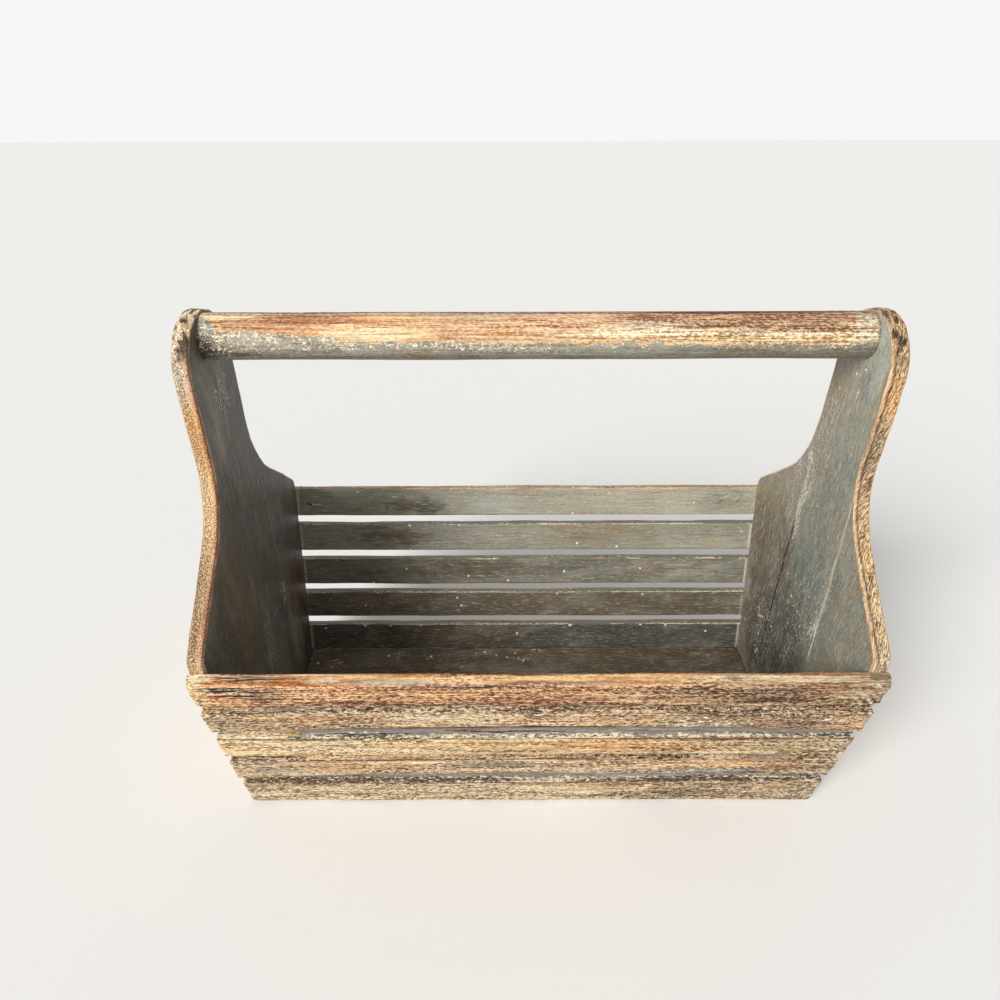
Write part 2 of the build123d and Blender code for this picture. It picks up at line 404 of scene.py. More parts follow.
def wornWood(name, look):
    material = bpy.data.materials.new(name)
    nodes = Nodes(material)
    mix, ramp, calc, times, over = nodes.mix, nodes.ramp, nodes.calc, nodes.times, nodes.over
    grain = nodes.field(look["grainField"], "Vector")
    tone = nodes.field("tone", "Color")
    coat = nodes.field("coat", "Color")
    layers = nodes.add("Attribute", {}, attribute_name="layers").outputs
    cover, chips, dirt = nodes.add("SeparateColor", {0: layers["Color"]}).outputs[:3]
    noise = {kind: nodes.noise(grain, look[kind + "Size"], *values) for kind, values in woodNoises.items()}

    # Bare wood: broad streaks, long thin lines and fine speckle, stronger where it is dirtier
    deep = times(tone, look["deepStreak"])
    darkest = times(tone, look["fineDeep"])
    pale = mix(look["paleMix"], tone, shadeValue("cream"))
    brightness = nodes.add("RGBToBW", {0: tone}).outputs[0]
    paleShare = ramp(brightness, 0.03, 0.25, 0.1, look["finePale"])
    palest = mix(paleShare, times(tone, look["paleLift"]), shadeValue("cream"))
    dirty = ramp(dirt, 0.1, 0.65, look["cleanShare"], 1.0)
    wood = over(tone, deep, noise["streak"], 0.5, 0.62, look["deepAmount"])
    wood = over(wood, pale, noise["streak"], 0.47, 0.36)
    for kind, darkEdge, paleEdge, amount in (
        ("fibre", (0.535, 0.575), (0.46, 0.42), look["lineAmount"]),
        ("fine", (0.53, 0.58), (0.47, 0.42), look["fineAmount"]),
    ):
        for edge, shade in ((darkEdge, darkest), (paleEdge, palest)):
            wood = mix(calc("MULTIPLY", ramp(noise[kind], *edge, 0.0, amount), dirty), wood, shade)

    # Paint: warmer and cooler blotches, brush marks along the grain, stipple and fine scratches
    paint = over(coat, times(coat, look["warmCoat"]), noise["blotch"], 0.5, 0.62, look["warmAmount"])
    paint = over(paint, times(coat, look["coolCoat"]), noise["blotch"], 0.48, 0.36, look["coolAmount"])
    for kind in ("fibre", "fine"):
        paint = over(paint, times(paint, look["brushDeep"]), noise[kind], 0.5, 0.58)
    dusty = shadeValue(look["cloudShade"])
    for kind, low, high in (("cloud", 0.45, 0.7), ("scratch", 0.57, 0.64)):
        paint = over(paint, mix(look[kind + "Mix"], paint, dusty), noise[kind], low, high)
    blend = calc("MULTIPLY_ADD", noise["fleck"], look["chipping"], look["chipping"] * -0.5)
    paintMask = ramp(calc("ADD", cover, blend), 0.47, 0.53)
    place = nodes.add("VectorMath", {0: grain, 1: look["origin"]}, operation="SUBTRACT").outputs[0]
    colour = drawMarks(nodes, place, mix(paintMask, wood, paint), look["marks"], look["acrossAxis"])

    # Flecks of an old cream coat, or its curled edges, then dark pits, pale dust and drops
    fleckShape, fleckEdge = noise["fleck"], calc("MULTIPLY_ADD", chips, -0.3, 0.74)
    if look["curled"]:
        curl = nodes.noise(grain, look["curlSize"], 2, 0.5, 23.0, 0.8)
        away = calc("ABSOLUTE", calc("SUBTRACT", curl, 0.5))
        fleckShape = calc("MULTIPLY_ADD", away, -look["curled"], 1.0)
        fleckEdge = calc("MULTIPLY_ADD", chips, -0.6, 1.0)
    fleckMask = ramp(calc("SUBTRACT", fleckShape, fleckEdge), 0.0, 0.04, 0.0, look["fleckAmount"])
    colour = mix(fleckMask, colour, shadeValue(look["fleckShade"]))
    pitEdge = calc("MULTIPLY_ADD", dirt, -0.3, 0.74)
    pitMask = ramp(calc("SUBTRACT", noise["pit"], pitEdge), 0.0, 0.05, 0.0, look["pitAmount"])
    colour = mix(pitMask, colour, shadeValue(look["pitShade"]))
    speckEdge = calc("MULTIPLY_ADD", layers["Alpha"], -0.45, 0.8)
    colour = over(colour, shadeValue("dust"), calc("SUBTRACT", noise["speck"], speckEdge), 0.0, 0.04, 0.8)
    colour = drawDrops(nodes, place, colour, look["drops"], look["acrossAxis"])

    rough = ramp(paintMask, 0.0, 1.0, look["woodRough"], look["paintRough"])
    height = calc("MULTIPLY_ADD", noise["fibre"], 0.5, calc("MULTIPLY", fleckMask, 0.25))
    for raised, amount in ((noise["fine"], -0.6), (pitMask, -0.5), (paintMask, 0.2)):
        height = calc("MULTIPLY_ADD", raised, amount, height)
    inputs = {"Height": height, "Strength": look["bump"], "Distance": look["bumpDepth"] * mm}
    nodes.fill(nodes.tree.nodes["Principled BSDF"], {
        "Base Color": colour,
        "Roughness": calc("ADD", rough, ramp(noise["cloud"], 0.3, 0.7, -0.06, 0.06)),
        "Specular IOR Level": 0.35,
        "Normal": nodes.add("Bump", inputs).outputs[0],
    })
    return material


woodLook = {
    "grainField": "grain",
    "streakSize": (110, 4.6),  # millimetres along and across the grain
    "fibreSize": (56, 1), "fleckSize": (3.4, 1.5), "pitSize": (4.2, 1.4), "scratchSize": (12, 0.9),
    "fineSize": (2.8, 1.2), "fineDeep": (0.17, 0.11, 0.08, 1), "finePale": 0.6,
    "paleLift": (1.45, 1.4, 1.3, 1), "fineAmount": 0.8, "lineAmount": 1, "cleanShare": 0.3,
    "cloudSize": (60, 22), "blotchSize": (34, 12), "speckSize": (1.8, 1.6),
    "deepStreak": (0.42, 0.28, 0.19, 1), "deepAmount": 0.75, "paleMix": 0.45, "fleckShade": "chalk",
    "fleckAmount": 0.9, "curled": 0, "pitShade": "darkPit", "pitAmount": 0.9,
    "warmCoat": (1.12, 0.9, 0.72, 1), "warmAmount": 0.5, "coolCoat": (0.97, 1, 0.98, 1), "coolAmount": 0.5,
    "scratchMix": 0.3, "brushDeep": (0.8, 0.79, 0.78, 1), "cloudShade": "dust", "cloudMix": 0.12,
    "chipping": 1, "woodRough": 0.78, "paintRough": 0.5, "bump": 1, "bumpDepth": 0.7, "marks": (),
    "drops": (), "origin": (0, 0, 0), "acrossAxis": 1,
}
insideLook = {
    **woodLook,
    "chipping": 0.5, "streakSize": (60, 9), "fibreSize": (30, 0.9), "fleckSize": (1.6, 1.2),
    "pitSize": (1.5, 1.1), "fineSize": (1.7, 0.9), "scratchSize": (8, 0.8), "cloudSize": (40, 16),
    "blotchSize": (16, 6), "warmCoat": (1.08, 0.95, 0.82, 1), "warmAmount": 0.7,
    "coolCoat": (0.9, 0.96, 0.93, 1), "coolAmount": 0.6, "scratchMix": 0.4,
    "brushDeep": (0.76, 0.75, 0.73, 1),
}
boardInsideLook = {
    **insideLook,
    "fibreSize": (13, 1.1), "fineSize": (1.9, 1.2), "scratchSize": (7, 0.9), "blotchSize": (22, 14),
    "brushDeep": (0.83, 0.82, 0.8, 1),
}
leftMarks = (
    (88, 38.5, 226, 40, 0.7, "driftwood", 0.8), (150, -60, 215, -63, 0.5, "driftwood", 0.4),
    (106, 39, 122, 37, 1.2, "dust", 0.8), (94, 31, 108, 33, 1, "dust", 0.6),
    (298, -5, 312, -2, 1.3, "darkPit", 0.9), (302, -1, 316, 2, 0.8, "driftwood", 0.8),
    (290, 0, 302, 4, 1.1, "darkPit", 0.8), (268, -1, 286, 3, 1.6, "driftwood", 0.5),
    (286, -14, 322, -17, 0.6, "driftwood", 0.5),
)
leftDrops = ((118, 40, 0.9), (112, 37, 0.8), (105, 33, 1.0), (110, 14, 0.8), (308, -4, 0.9), (46, -30, 0.8))
rightMarks = (
    (182, 29.5, 243, 28.5, 0.8, "dust", 0.75), (46, 30.5, 190, 29.5, 1.5, "pitch", 1),
    (106, -43, 152, -41.2, 0.9, "chalk", 0.9), (146, -41.6, 206, -39, 1.5, "chalk", 0.7),
    (198, -39.6, 248, -37, 0.8, "dust", 0.85), (140, -42.6, 225, -38.6, 2.2, "clay", 0.55),
    (190, 32, 236, 31, 1.8, "brownOlive", 0.5), (120, 33, 180, 33.5, 2.4, "brown", 0.45),
    (200, 47, 250, 44, 0.6, "dust", 0.5), (190, 52, 230, 50, 0.6, "dust", 0.4),
    (255, 24, 300, 19, 0.7, "dust", 0.5), (245, 12, 290, 8, 0.6, "dust", 0.35),
    (170, 42, 205, 39, 0.5, "dust", 0.5), (176, 47, 212, 45, 0.5, "dust", 0.45),
    (300, -6, 312, -7.5, 0.8, "dust", 0.9), (316, -8.5, 334, -11, 0.6, "dust", 0.6),
)
rightDrops = (
    (317, 1, 1), (307, -7, 0.9), (323, -8, 0.8), (45, 35, 1.5), (41, 37, 1.2), (60, 40, 1.4), (76, 44, 1.3),
    (79, 40, 1.1), (74, 48, 1), (132, 4, 1.1), (124, 6, 0.8), (84, 22, 0.9), (216, 3, 0.7),
)
edgeLook = {
    **woodLook,
    "grainField": "edgeGrain", "streakSize": (40, 4), "cleanShare": 0.5, "chipping": 0.7,
}
leftEdgeLook = {
    **edgeLook,
    "fibreSize": (5, 1.7), "fineSize": (1, 0.9), "fineDeep": (0.42, 0.3, 0.2, 1), "fleckSize": (1.4, 1.1),
    "pitSize": (1.1, 0.9), "finePale": 0.25, "lineAmount": 0.1, "fineAmount": 1, "pitAmount": 0.45,
}
rightEdgeLook = {
    **edgeLook,
    "fibreSize": (9, 0.9), "fineSize": (2.4, 0.9), "fineDeep": (0.3, 0.2, 0.14, 1), "finePale": 0.3,
    "paleLift": (1.3, 1.26, 1.15, 1), "fleckSize": (3, 1), "pitSize": (3, 1), "pitAmount": 0.5,
}
rodWoodLook = {
    **woodLook,
    "cloudSize": (40, 10), "fibreSize": (42, 1.15), "fineSize": (2.6, 1.2), "fleckSize": (3.6, 2.4),
    "pitSize": (3, 1.3), "fineDeep": (0.34, 0.2, 0.13, 1), "fineAmount": 0.6, "cleanShare": 0.25,
    "curled": 16, "curlSize": (4.2, 2.8), "pitAmount": 0.5, "brushDeep": (0.72, 0.71, 0.7, 1),
}

leftInsideLook = {
    **boardInsideLook,
    "marks": leftMarks, "drops": leftDrops, "brushDeep": (0.88, 0.88, 0.88, 1), "scratchMix": 0.2,
}
rightInsideLook = {
    **boardInsideLook,
    "marks": rightMarks, "drops": rightDrops, "brushDeep": (0.78, 0.77, 0.75, 1), "scratchMix": 0.55,
}
outsideLook = {
    **woodLook,
    "fineAmount": 0.4, "lineAmount": 0.85, "chipping": 0.7,
}
slatWood = wornWood("wornSlatWood", woodLook)
frontInside = wornWood("paintedFrontSlatWood", insideLook)
outsideWood = wornWood("wornBoardWood", outsideLook)
boardWoods = {
    "left": wornWood("paintedLeftBoardWood", leftInsideLook),
    "right": wornWood("paintedRightBoardWood", rightInsideLook),
}
edgeWoods = {
    "left": wornWood("wornLeftEdgeWood", leftEdgeLook),
    "right": wornWood("wornRightEdgeWood", rightEdgeLook),
}
rodWood = wornWood("wornRodWood", rodWoodLook)
print("wood finishes made")

# Slats. Each spot is (along from the middle, round the section from the inner top arris, half
# length, half width), and each split is the same with its whole width last
slatCommon = {
    "alongStep": 1.9, "endStep": 0.8, "acrossStep": 0.5, "edgeStep": 0.35, "edgeWidth": 2.8,
    "arrisRound": 1.3, "arrisWear": 1.1, "topRound": 0.7, "topRise": 0, "lowerRound": 3, "endRound": 1,
    "endArris": 0.4, "endReach": 24, "endCuts": 0, "cutSize": (2.6, 8, 4), "cutsFrom": 30, "cutsFull": 12,
    "cornerWidth": 0.9, "wearSize": (34, 400, 400), "endWorn": 9, "mostWorn": 0.49, "lowerWorn": 0.3,
    "ringRelief": ((0.2, (420, 1.25, 1), 5),), "relief": ((0.12, (13, 0.8, 0.8), 6), (0.3, (45, 9, 9), 7)),
    "endRelief": ((0.9, (400, 1.8, 1.8), 9), (0.9, (400, 5, 5), 10)), "hollows": (0.9, (38, 4, 4), 0.35, 8),
    "mottleSize": (70, 5, 5), "ringClouds": (1.8, (150, 30, 30), 3), "coverSize": (55, 7, 7),
    "chipClouds": (0.25, (40, 6, 6), 17), "dirtClouds": (0.25, (50, 6, 6), 19), "wood": "tan",
    "paint": "olive", "faceCover": 0.16, "topCover": 0.3, "topPaint": "lilac", "insideCover": 0.9,
    "chips": 0.45, "dirt": 0.42, "dusting": 0.1, "bow": 0, "stains": (), "paints": (), "splits": (),
    "looseSplits": 9, "looseLong": (8, 50), "looseWide": (0.6, 1.1), "lipFrom": 1.4, "lipWide": 1.9,
    "lipHeight": 0.25, "splitDepth": 1.3, "arrisLine": ("umber", 0), "lowerLine": ("cream", 0),
    "innerLine": ("rust", 0), "topFlecks": 0, "topDirt": 0, "paintedShadeRight": "brown", "paintedShadeRightAmount": 0.45,
    "rightEnd": "driftwood", "cornerLine": 0, "insidePaints": (), "cracks": (), "marks": (), "drops": (),
    "arrisFlecks": 0, "seed": 1,
}

frontSlats = [
    {
        "wood": "orange", "paint": "lilac", "innerLine": ("rust", 0.8), "lowerLine": ("rust", 0.95),
        "paintedShadeRightAmount": 0.8, "topDirt": -0.4, "topRise": 0.5, "endRound": 3.2, "endArris": 3.4,
        "endCuts": 0.9, "faceCover": 0.04, "topCover": 0.1, "chips": 0.3, "dirt": 0.6, "lowerRound": 2.4,
        "stains": (
            (-212, 19, 9, 14, "straw", 0.9), (-209, 3, 7, 4, "cream", 0.9),
            (-170, 21, 12, 9, "redBrown", 0.85), (-140, 17, 24, 7, "orange", 0.85),
            (-67, 28, 90, 2.2, "rust", 0.8), (-132, 5, 10, 1.7, "cream", 0.9),
            (-95, 6.2, 30, 2, "driftwood", 0.8), (-40, 2.4, 60, 1.4, "orange", 0.8),
            (14, 3.6, 110, 3.2, "amber", 0.95), (150, 5, 60, 2.2, "cream", 0.7),
            (-6, 8.2, 75, 1.2, "lilac", 0.7), (0, 0.2, 230, 0.9, "rust", 0.9),
            (118, 3.5, 5, 2.2, "driftwood", 0.9), (112, 13, 8, 3.5, "orange", 0.9),
            (135, 21, 75, 11, "brown", 0.75), (-30, 21, 110, 7, "auburn", 0.5),
            (20, 24, 60, 4, "rust", 0.5), (-20, 31, 120, 2.4, "redBrown", 0.6),
            (0, 33, 4, 1.6, "honey", 0.9), (182, 25, 9, 4, "straw", 0.6), (-110, 20, 55, 9, "honey", 0.5),
            (-168, 3, 26, 1.6, "umber", 0.6), (-60, 16, 60, 5, "honey", 0.3),
        ),
        "cracks": (
            (-206, -6.6, -173, -3.8, 0.9, "pitch", 1), (-203, -8.6, -178, -6, 0.4, "chalk", 0.8),
            (-190, -9.4, -168, -10.8, 0.5, "pitch", 0.9), (-209, -22.2, -184, -19.8, 0.5, "umber", 0.8),
            (-204, -3.2, -182, -2, 0.5, "pitch", 0.9), (-198, -13.2, -172, -14.6, 0.6, "umber", 0.8),
            (-73, -3.4, -12, -4.8, 0.4, "umber", 0.6), (-178, -17.5, -80, -19.8, 0.4, "redBrown", 0.8),
            (13, -14, 64, -15.4, 0.4, "umber", 0.7), (-30, -22.6, 110, -23.4, 0.6, "redBrown", 0.8),
            (90, -19, 170, -20.2, 0.5, "umber", 0.8),
        ),
        "paints": ((205, 23, 12, 7, "mint", 0.3), (208, 3, 7, 4, "greyBrown", 0.4)),
        "splits": (
            (-182, 2.8, 22, 1.7), (-176, 4.8, 18, 1.5), (-192, 10.6, 18, 2.2), (-181, 15.2, 24, 3.6),
            (-150, 13, 12, 1.6), (-187, 20.3, 15, 2.8), (-168, 24.5, 16, 2), (-50, 9.6, 60, 1.2),
            (-55, 31, 34, 2), (38, 31.4, 30, 2), (178, 25, 7, 2),
        ),
        "seed": 101,
    },
    {
        "faceCover": 0.14, "topCover": 0.42, "chips": 0.62, "dirt": 0.6, "lowerLine": ("cream", 0.8),
        "paintedShadeRightAmount": 1, "bow": 2.3, "lowerRound": 6.5,
        "stains": (
            (57, 17, 24, 6, "rust", 0.6), (30, 24, 70, 6, "honey", 0.5), (109, 18, 45, 7, "honey", 0.45),
            (150, 22, 66, 14, "brown", 0.9), (205, 21, 16, 12, "orange", 0.35),
            (-110, 33, 80, 2, "cream", 0.7), (-130, 20, 60, 10, "honey", 0.35),
        ),
        "topFlecks": 0.05, "endCuts": 0.8, "seed": 211,
    },
    {
        "wood": "straw", "faceCover": 0.1, "topCover": 0.78, "topPaint": "slate", "chips": 0.5, "dirt": 0.5,
        "lowerRound": 4.5, "arrisLine": ("umber", 0.95), "topFlecks": 0.55, "endCuts": 0.5,
        "stains": (
            (-147, 18, 60, 8, "cream", 0.6), (-102, 16, 8, 1.6, "salmon", 0.7),
            (65, 19, 60, 9, "honey", 0.8),
        ),
        "paints": (
            (-65, 24, 30, 5, "lichen", 0.35), (105, 13, 9, 2.5, "lichen", 0.4),
            (-188, 4, 40, 9, "slate", -0.6),
        ),
        "seed": 307,
    },
    {
        "faceCover": 0.14, "chips": 0.56, "dirt": 0.56, "bow": 1.6, "paintedShadeRightAmount": 0.8, "topFlecks": 0.05,
        "endCuts": 0.5, "lowerRound": 5.5, "arrisLine": ("redBrown", 0.8),
        "stains": (
            (-128, 19, 36, 8, "honey", 0.5), (150, 22, 70, 10, "brown", 0.6),
            (105, 16, 60, 6, "honey", 0.85),
        ),
        "paints": (
            (-184, 20, 24, 9, "lichen", 0.35), (-27, 16.5, 34, 3.5, "lichen", 0.4),
            (125, 26, 40, 4, "slate", 0.5),
        ),
        "seed": 401,
    },
    {
        "wood": "sand", "faceCover": 0.14, "topCover": 0.72, "lowerLine": ("rose", 0.9), "paintedShadeRightAmount": 0.6,
        "chips": 0.62, "dirt": 0.62, "lowerRound": 2.6, "arrisLine": ("redBrown", 0.9), "topFlecks": 0.75,
        "topDirt": 0.05, "endCuts": 0.4,
        "stains": (
            (-90, 22, 120, 6, "cream", 0.4), (150, 24, 60, 9, "brown", 0.5),
            (0, 12, 200, 2.2, "redBrown", 0.5),
        ),
        "paints": (
            (-146, 28, 26, 3, "lichen", 0.35), (-66, 29, 24, 5, "lichen", 0.4),
            (45, 32, 30, 3.5, "lichen", 0.3), (-205, 4, 26, 9, "lilac", -0.5),
        ),
        "endRound": 2.4, "seed": 503,
    },
]


def slatSection(places, depth, width):
    x, y, z = places.T
    bottom = 2 * depth + width + y
    inside = 2 * depth + 2 * width + z
    flat = [np.isclose(y, -depth), np.isclose(z, 0), np.isclose(z, -width), np.isclose(y, 0)]
    return np.select(flat, [depth - z, -y, bottom, inside], depth - z)


def slatPlace(wall, number):
    down = Matrix.Translation((0, 0, -slatPitch * number))
    rim = Matrix.Translation((0, -basket["rimHalfWidth"], basket["rimHeight"]))
    halfTurn = turn(180 if wall == "back" else 0, "Z")
    return np.array(halfTurn @ rim @ turn(basket["wallLean"], "X") @ down)


def slat(wall, number, own):
    look = {**slatCommon, **own}
    name = f"{wall}_slat_{number + 1}"
    seed = look["seed"]
    lowest = number == basket["slatCount"] - 1
    width = basket["lowestSlatWidth"] if lowest else basket["slatWidth"]
    depth = basket["slatThickness"]
    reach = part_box(name)[1].x / mm
    edge = (look["acrossStep"], look["edgeStep"], look["edgeWidth"])
    along = spaced(-reach, reach, look["alongStep"], look["endStep"], look["endReach"])
    places, quads = gridBox(along, spaced(-depth, 0, *edge), spaced(-width, 0, *edge))
    girth = slatSection(places, depth, width)
    x = places[:, 0]

    # Worn arrises, the lower outer one most
    wear = layeredNoise(places, look["wearSize"], seed)
    middle = np.clip(1 - (x / reach) ** 2, 0, 1)
    onOuter = places[:, 1] < -depth / 2
    lowerOuter = onOuter & (places[:, 2] < -width / 2)
    upperInner = ~onOuter & (places[:, 2] > -width / 2)
    arris = look["arrisRound"] + look["arrisWear"] * np.clip(wear + 0.3, 0, 1)
    arris = arris + lowerOuter * (look["lowerRound"] - look["arrisRound"]) * np.sqrt(middle)
    arris = arris + onOuter * look["endArris"] * ease(np.abs(x), reach - look["endWorn"], reach)
    arris = np.where(upperInner, look["topRound"] + 0.1 * arris, arris)
    arris = np.minimum(arris, depth * (look["mostWorn"] + look["lowerWorn"] * lowerOuter))
    radii = np.stack([np.full_like(arris, look["endRound"]), arris, arris], 1)
    places = easedBox(places, np.array([-reach, -depth, -width]), np.array([reach, 0.0, 0.0]), radii)
    facing = outward(places, quads)
    outer, inner = faces(facing, 1, -1), faces(facing, 1, 1)
    top, below = faces(facing, 2, 1), faces(facing, 2, -1)
    end = facing[:, 0] ** 2
    shown = 1 - inner
    bare = np.clip(1 - np.max([outer, inner, top, below, end], axis=0), 0, 0.5) * 2

    # Raised grain, lumps, eroded hollows and ragged ends
    rings = 0.9 * places[:, 2] + 0.5 * places[:, 1] + clouds(places, look["ringClouds"], seed)
    ringPlaces = np.stack([x, rings, np.zeros_like(x)], 1)
    height = relief(ringPlaces, look["ringRelief"], seed) + relief(places, look["relief"], seed)
    height -= hollows(places, look["hollows"], seed)
    height *= 0.35 + 0.65 * shown
    height += look["topRise"] * top
    height = height * (1 - end) + (relief(places, look["endRelief"], seed) - 0.2) * end
    slant = np.stack([x + 0.8 * places[:, 2], places[:, 1], places[:, 2] / 6], 1)
    cuts = softNoise(slant, look["cutSize"], seed + 21)
    nearRight = ease(x, reach - look["cutsFrom"], reach - look["cutsFull"]) * outer * look["endCuts"]
    height -= nearRight * np.clip(cuts, -0.2, 1)

    finish = Finish(len(places), look)
    stain, tint = finish.stain, finish.tint
    finish.cover = look["faceCover"] * outer + look["topCover"] * top + look["insideCover"] * inner
    finish.cover += 0.35 * below + 0.1 * end - 0.35 * bare
    finish.cover += (0.22 - 0.1 * outer) * layeredNoise(places, look["coverSize"], seed + 11) * shown
    tint(top, look["topPaint"])
    mottled = layeredNoise(places, look["mottleSize"], seed + 13)
    finish.mottle(mottled, 0.25, 0.9, 0.6, "brown", "cream")
    # Front slats grow darker and browner towards the right: painted shade, as the light falls off across
    # the wall
    if wall == "front":
        paintedShadeOnRight = ease(x + 25 * mottled, reach * 0.1, reach * 0.7) * look["paintedShadeRightAmount"]
        stain(paintedShadeOnRight, look["paintedShadeRight"])
    stain(ease(x + 10 * mottled, reach * 0.8, reach) * 0.7, look["rightEnd"])
    finish.mottle(cuts, 0.1, 0.5, 0.8 * nearRight, "umber", "cream")
    lowerTop = top * ease(-places[:, 1], depth * 0.25, depth * 0.75)
    upperTop = top - lowerTop
    finish.chips = look["chips"] + clouds(places, look["chipClouds"], seed)
    finish.chips += look["topFlecks"] * (lowerTop - 0.4 * upperTop)
    finish.chips *= shown * (1 - 0.6 * end)
    finish.dirt = look["dirt"] + clouds(places, look["dirtClouds"], seed)
    finish.dirt += look["topFlecks"] * (0.35 * lowerTop - 0.4 * upperTop) + look["topDirt"] * top
    finish.dirt = finish.dirt * shown * (1 - 0.6 * end) + 0.2 * inner
    finish.dusting += look["dusting"]
    corner = near(np.abs(x), basket["cornerX"], look["cornerWidth"]) * inner
    tint(corner * look["cornerLine"], "dust")
    fromLeft = x if wall == "front" else -x  # the back wall is turned round
    for order, (*spot, shade) in enumerate(look["insidePaints"]):
        mask = patch(fromLeft, places[:, 2], spot, 0.5, seed + 81 + order, 1.4)
        tint(mask * inner * 0.85, shade)
    finish.stainSpots(x, girth, look["stains"], 0.35, seed + 23, shown)
    finish.paintSpots(x, girth, look["paints"], seed + 61, shown)

    # Lines along the arrises
    shade, strength = look["lowerLine"]
    line = near(girth, depth + width - 1.6, 1.3) * ease(wear, -0.8, 0.2) * strength
    stain(line, shade)
    finish.cover -= line * 0.5
    shade, strength = look["arrisLine"]
    line = near(girth, depth + 0.2, 1.1) * (1 - end) * ease(wear, -1.6, -0.5) * strength
    stain(line, shade)
    finish.cover -= line
    finish.chips -= line
    finish.dirt -= line * 0.3
    shade, strength = look["innerLine"]
    line = near(np.hypot(places[:, 1], places[:, 2]), 0, 1.3) * ease(wear, -0.6, 0.3)
    stain(line, shade)
    finish.cover -= line * strength
    finish.chips += line * look["arrisFlecks"]

    # Splits, with raised lips along the wide ones
    luck = np.random.default_rng(seed)
    looseLimits = ((-reach, reach), (0, depth + width), look["looseLong"], look["looseWide"])
    splits = list(look["splits"])
    for _ in range(look["looseSplits"]):
        splits.append(tuple(luck.uniform(*limits) for limits in looseLimits))
    opened = np.zeros(len(places))
    lips = np.zeros(len(places))
    for order, (*spot, opening) in enumerate(splits):
        opened = np.maximum(opened, splitLine(x, girth, (*spot, opening), seed + 101 + order))
        if opening > look["lipFrom"]:
            raised = splitLine(x, girth, (*spot, opening * look["lipWide"]), seed + 101 + order)
            lips = np.maximum(lips, raised)
    opened = opened * shown * (1 - end)
    lips = lips * shown * (1 - end)
    height += look["lipHeight"] * lips - look["splitDepth"] * opened
    stain(ease(lips, 0.1, 0.4) * 0.35, "cream")
    stain(ease(opened, 0.0, 0.25), "pitch")
    lost = ease(opened, 0.1, 0.6)
    finish.cover -= lost
    finish.chips -= lost
    finish.dirt -= 0.8 * lost

    places = places + facing * height[:, None]
    places[:, 1] += look["bow"] * np.sin(np.pi * (x / reach + 1) / 2)
    origin = (seed * 137.0 % 1000, seed * 71.0 % 300, 0.0)
    grain = places + np.array(origin)
    matrix = slatPlace(wall, number)
    places = places @ matrix[:3, :3].T + matrix[:3, 3]
    piece = makeMesh(name + "_wood", places, quads, finish.fields(grain))
    wood, painted = slatWood, frontInside
    placed = {"origin": origin, "acrossAxis": 2}
    if look["cracks"]:
        wood = wornWood(f"cracked_{name}", {**woodLook, **placed, "marks": look["cracks"]})
    if wall == "back":
        marks = [(-high, highUp, -low, lowUp, *rest) for low, lowUp, high, highUp, *rest in look["marks"]]
        drops = [(-along, up, 0.9 * radius) for along, up, radius in look["drops"]]
        painted = wornWood(f"painted_{name}", {**insideLook, **placed, "marks": marks, "drops": drops})
    piece.data.materials.append(wood)
    refinish(piece, quads, inner, painted)
    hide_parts(name)
    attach(piece, "root")


